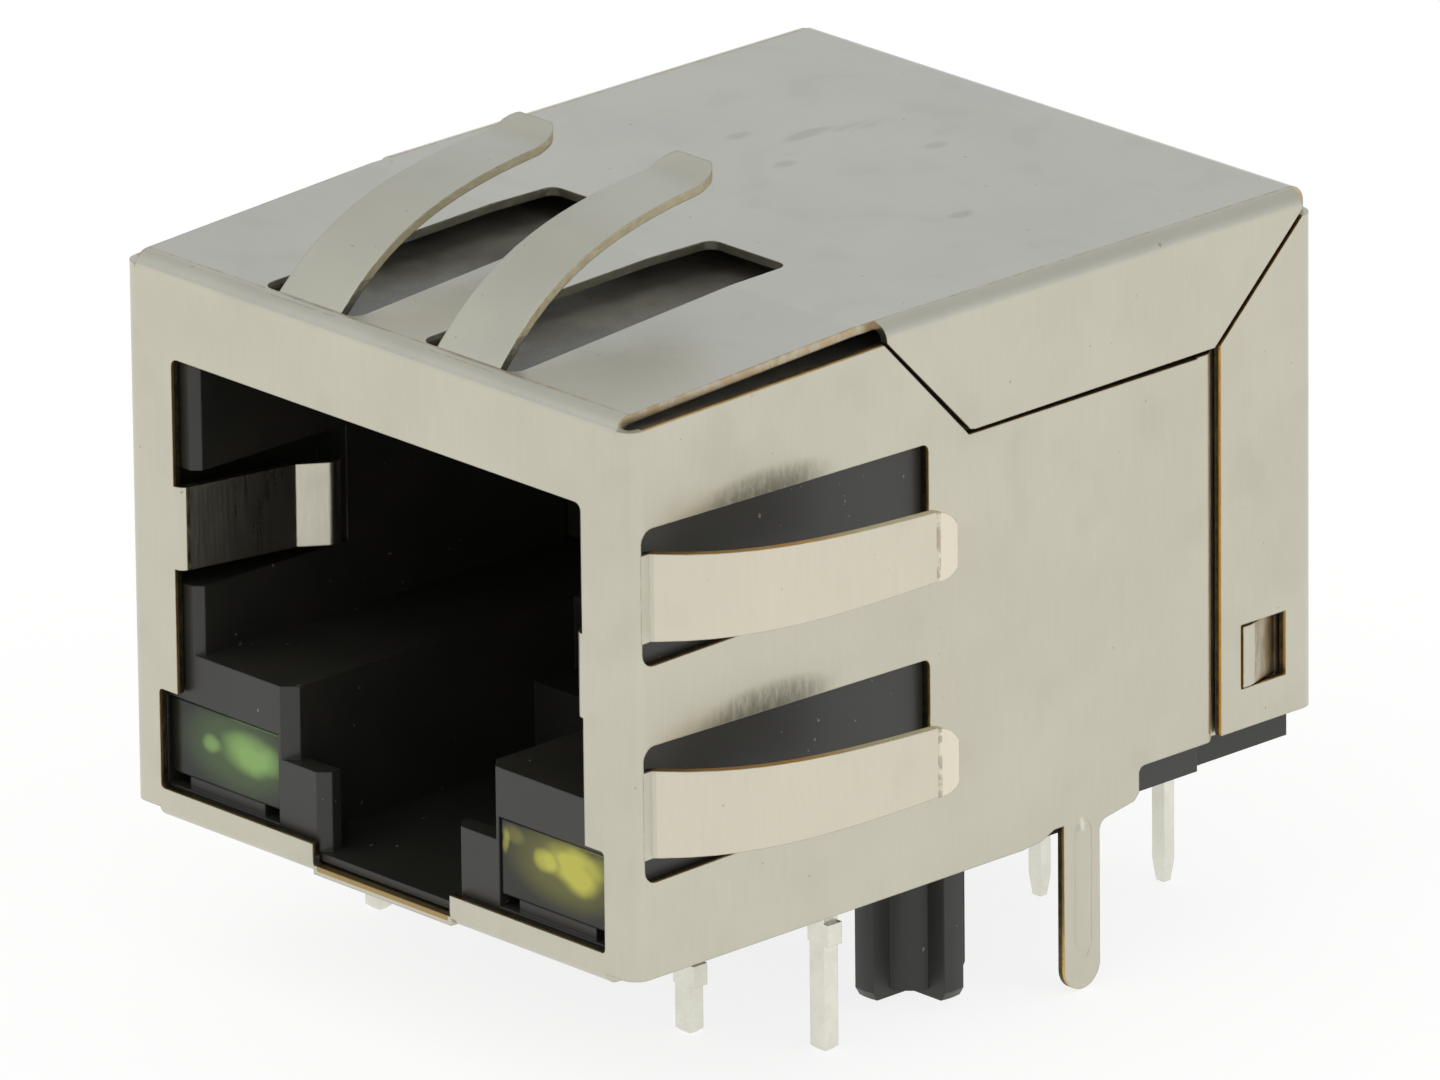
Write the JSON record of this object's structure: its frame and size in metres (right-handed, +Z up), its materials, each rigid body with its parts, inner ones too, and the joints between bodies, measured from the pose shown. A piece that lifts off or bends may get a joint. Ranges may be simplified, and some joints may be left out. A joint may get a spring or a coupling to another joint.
{
  "type": "rj45 board jack",
  "caption": "Shielded modular network jack for a circuit board: one folded metal sheet with spring fingers over a black housing, plug opening with lamps at its foot, pins and pegs below.",
  "frame": {"origin": "board plane, midway between the axes of the two board pegs", "axes": "+Z up away from the circuit board, -Y out of the plug opening, +X to the right of somebody who looks into the opening"},
  "size_m": [0.0204, 0.0203, 0.0192],
  "materials": {
    "plated_sheet": "thin nickel-plated sheet, satin, with brownish sheared edges",
    "black_plastic": "moulded black plastic, fine texture",
    "gold_wire": "gold-plated spring wire",
    "green_lens": "clear green lens",
    "yellow_lens": "clear yellow lens",
    "tinned_wire": "dull tin plating",
    "circuit_board": "green solder mask",
    "ferrite": "dark sintered ferrite",
    "copper_wire": "enamelled copper wire",
    "chip_black": "black chip body",
    "chip_tan": "tan ceramic"
  },
  "bodies": {
    "root": {"shield": "plated_sheet", "housing": "black_plastic", "contact_carrier": "black_plastic", "contact_1": "gold_wire", "contact_2": "gold_wire", "contact_3": "gold_wire", "contact_4": "gold_wire", "contact_5": "gold_wire", "contact_6": "gold_wire", "contact_7": "gold_wire", "contact_8": "gold_wire", "lamp_green": "green_lens", "lamp_yellow": "yellow_lens", "lamp_green_lead_long": "tinned_wire", "lamp_green_lead_short": "tinned_wire", "lamp_yellow_lead_long": "tinned_wire", "lamp_yellow_lead_short": "tinned_wire", "inner_board": "circuit_board", "terminal_base": "black_plastic", "signal_pin_1": "tinned_wire", "signal_pin_2": "tinned_wire", "signal_pin_3": "tinned_wire", "signal_pin_4": "tinned_wire", "signal_pin_5": "tinned_wire", "signal_pin_6": "tinned_wire", "signal_pin_7": "tinned_wire", "signal_pin_8": "tinned_wire", "core_1": "ferrite", "core_2": "ferrite", "core_3": "ferrite", "core_4": "ferrite", "winding_1": "copper_wire", "winding_2": "copper_wire", "winding_3": "copper_wire", "winding_4": "copper_wire", "resistor_1": "chip_black", "resistor_2": "chip_black", "resistor_3": "chip_black", "resistor_4": "chip_black", "capacitor": "chip_tan"}
  },
  "joints": []
}
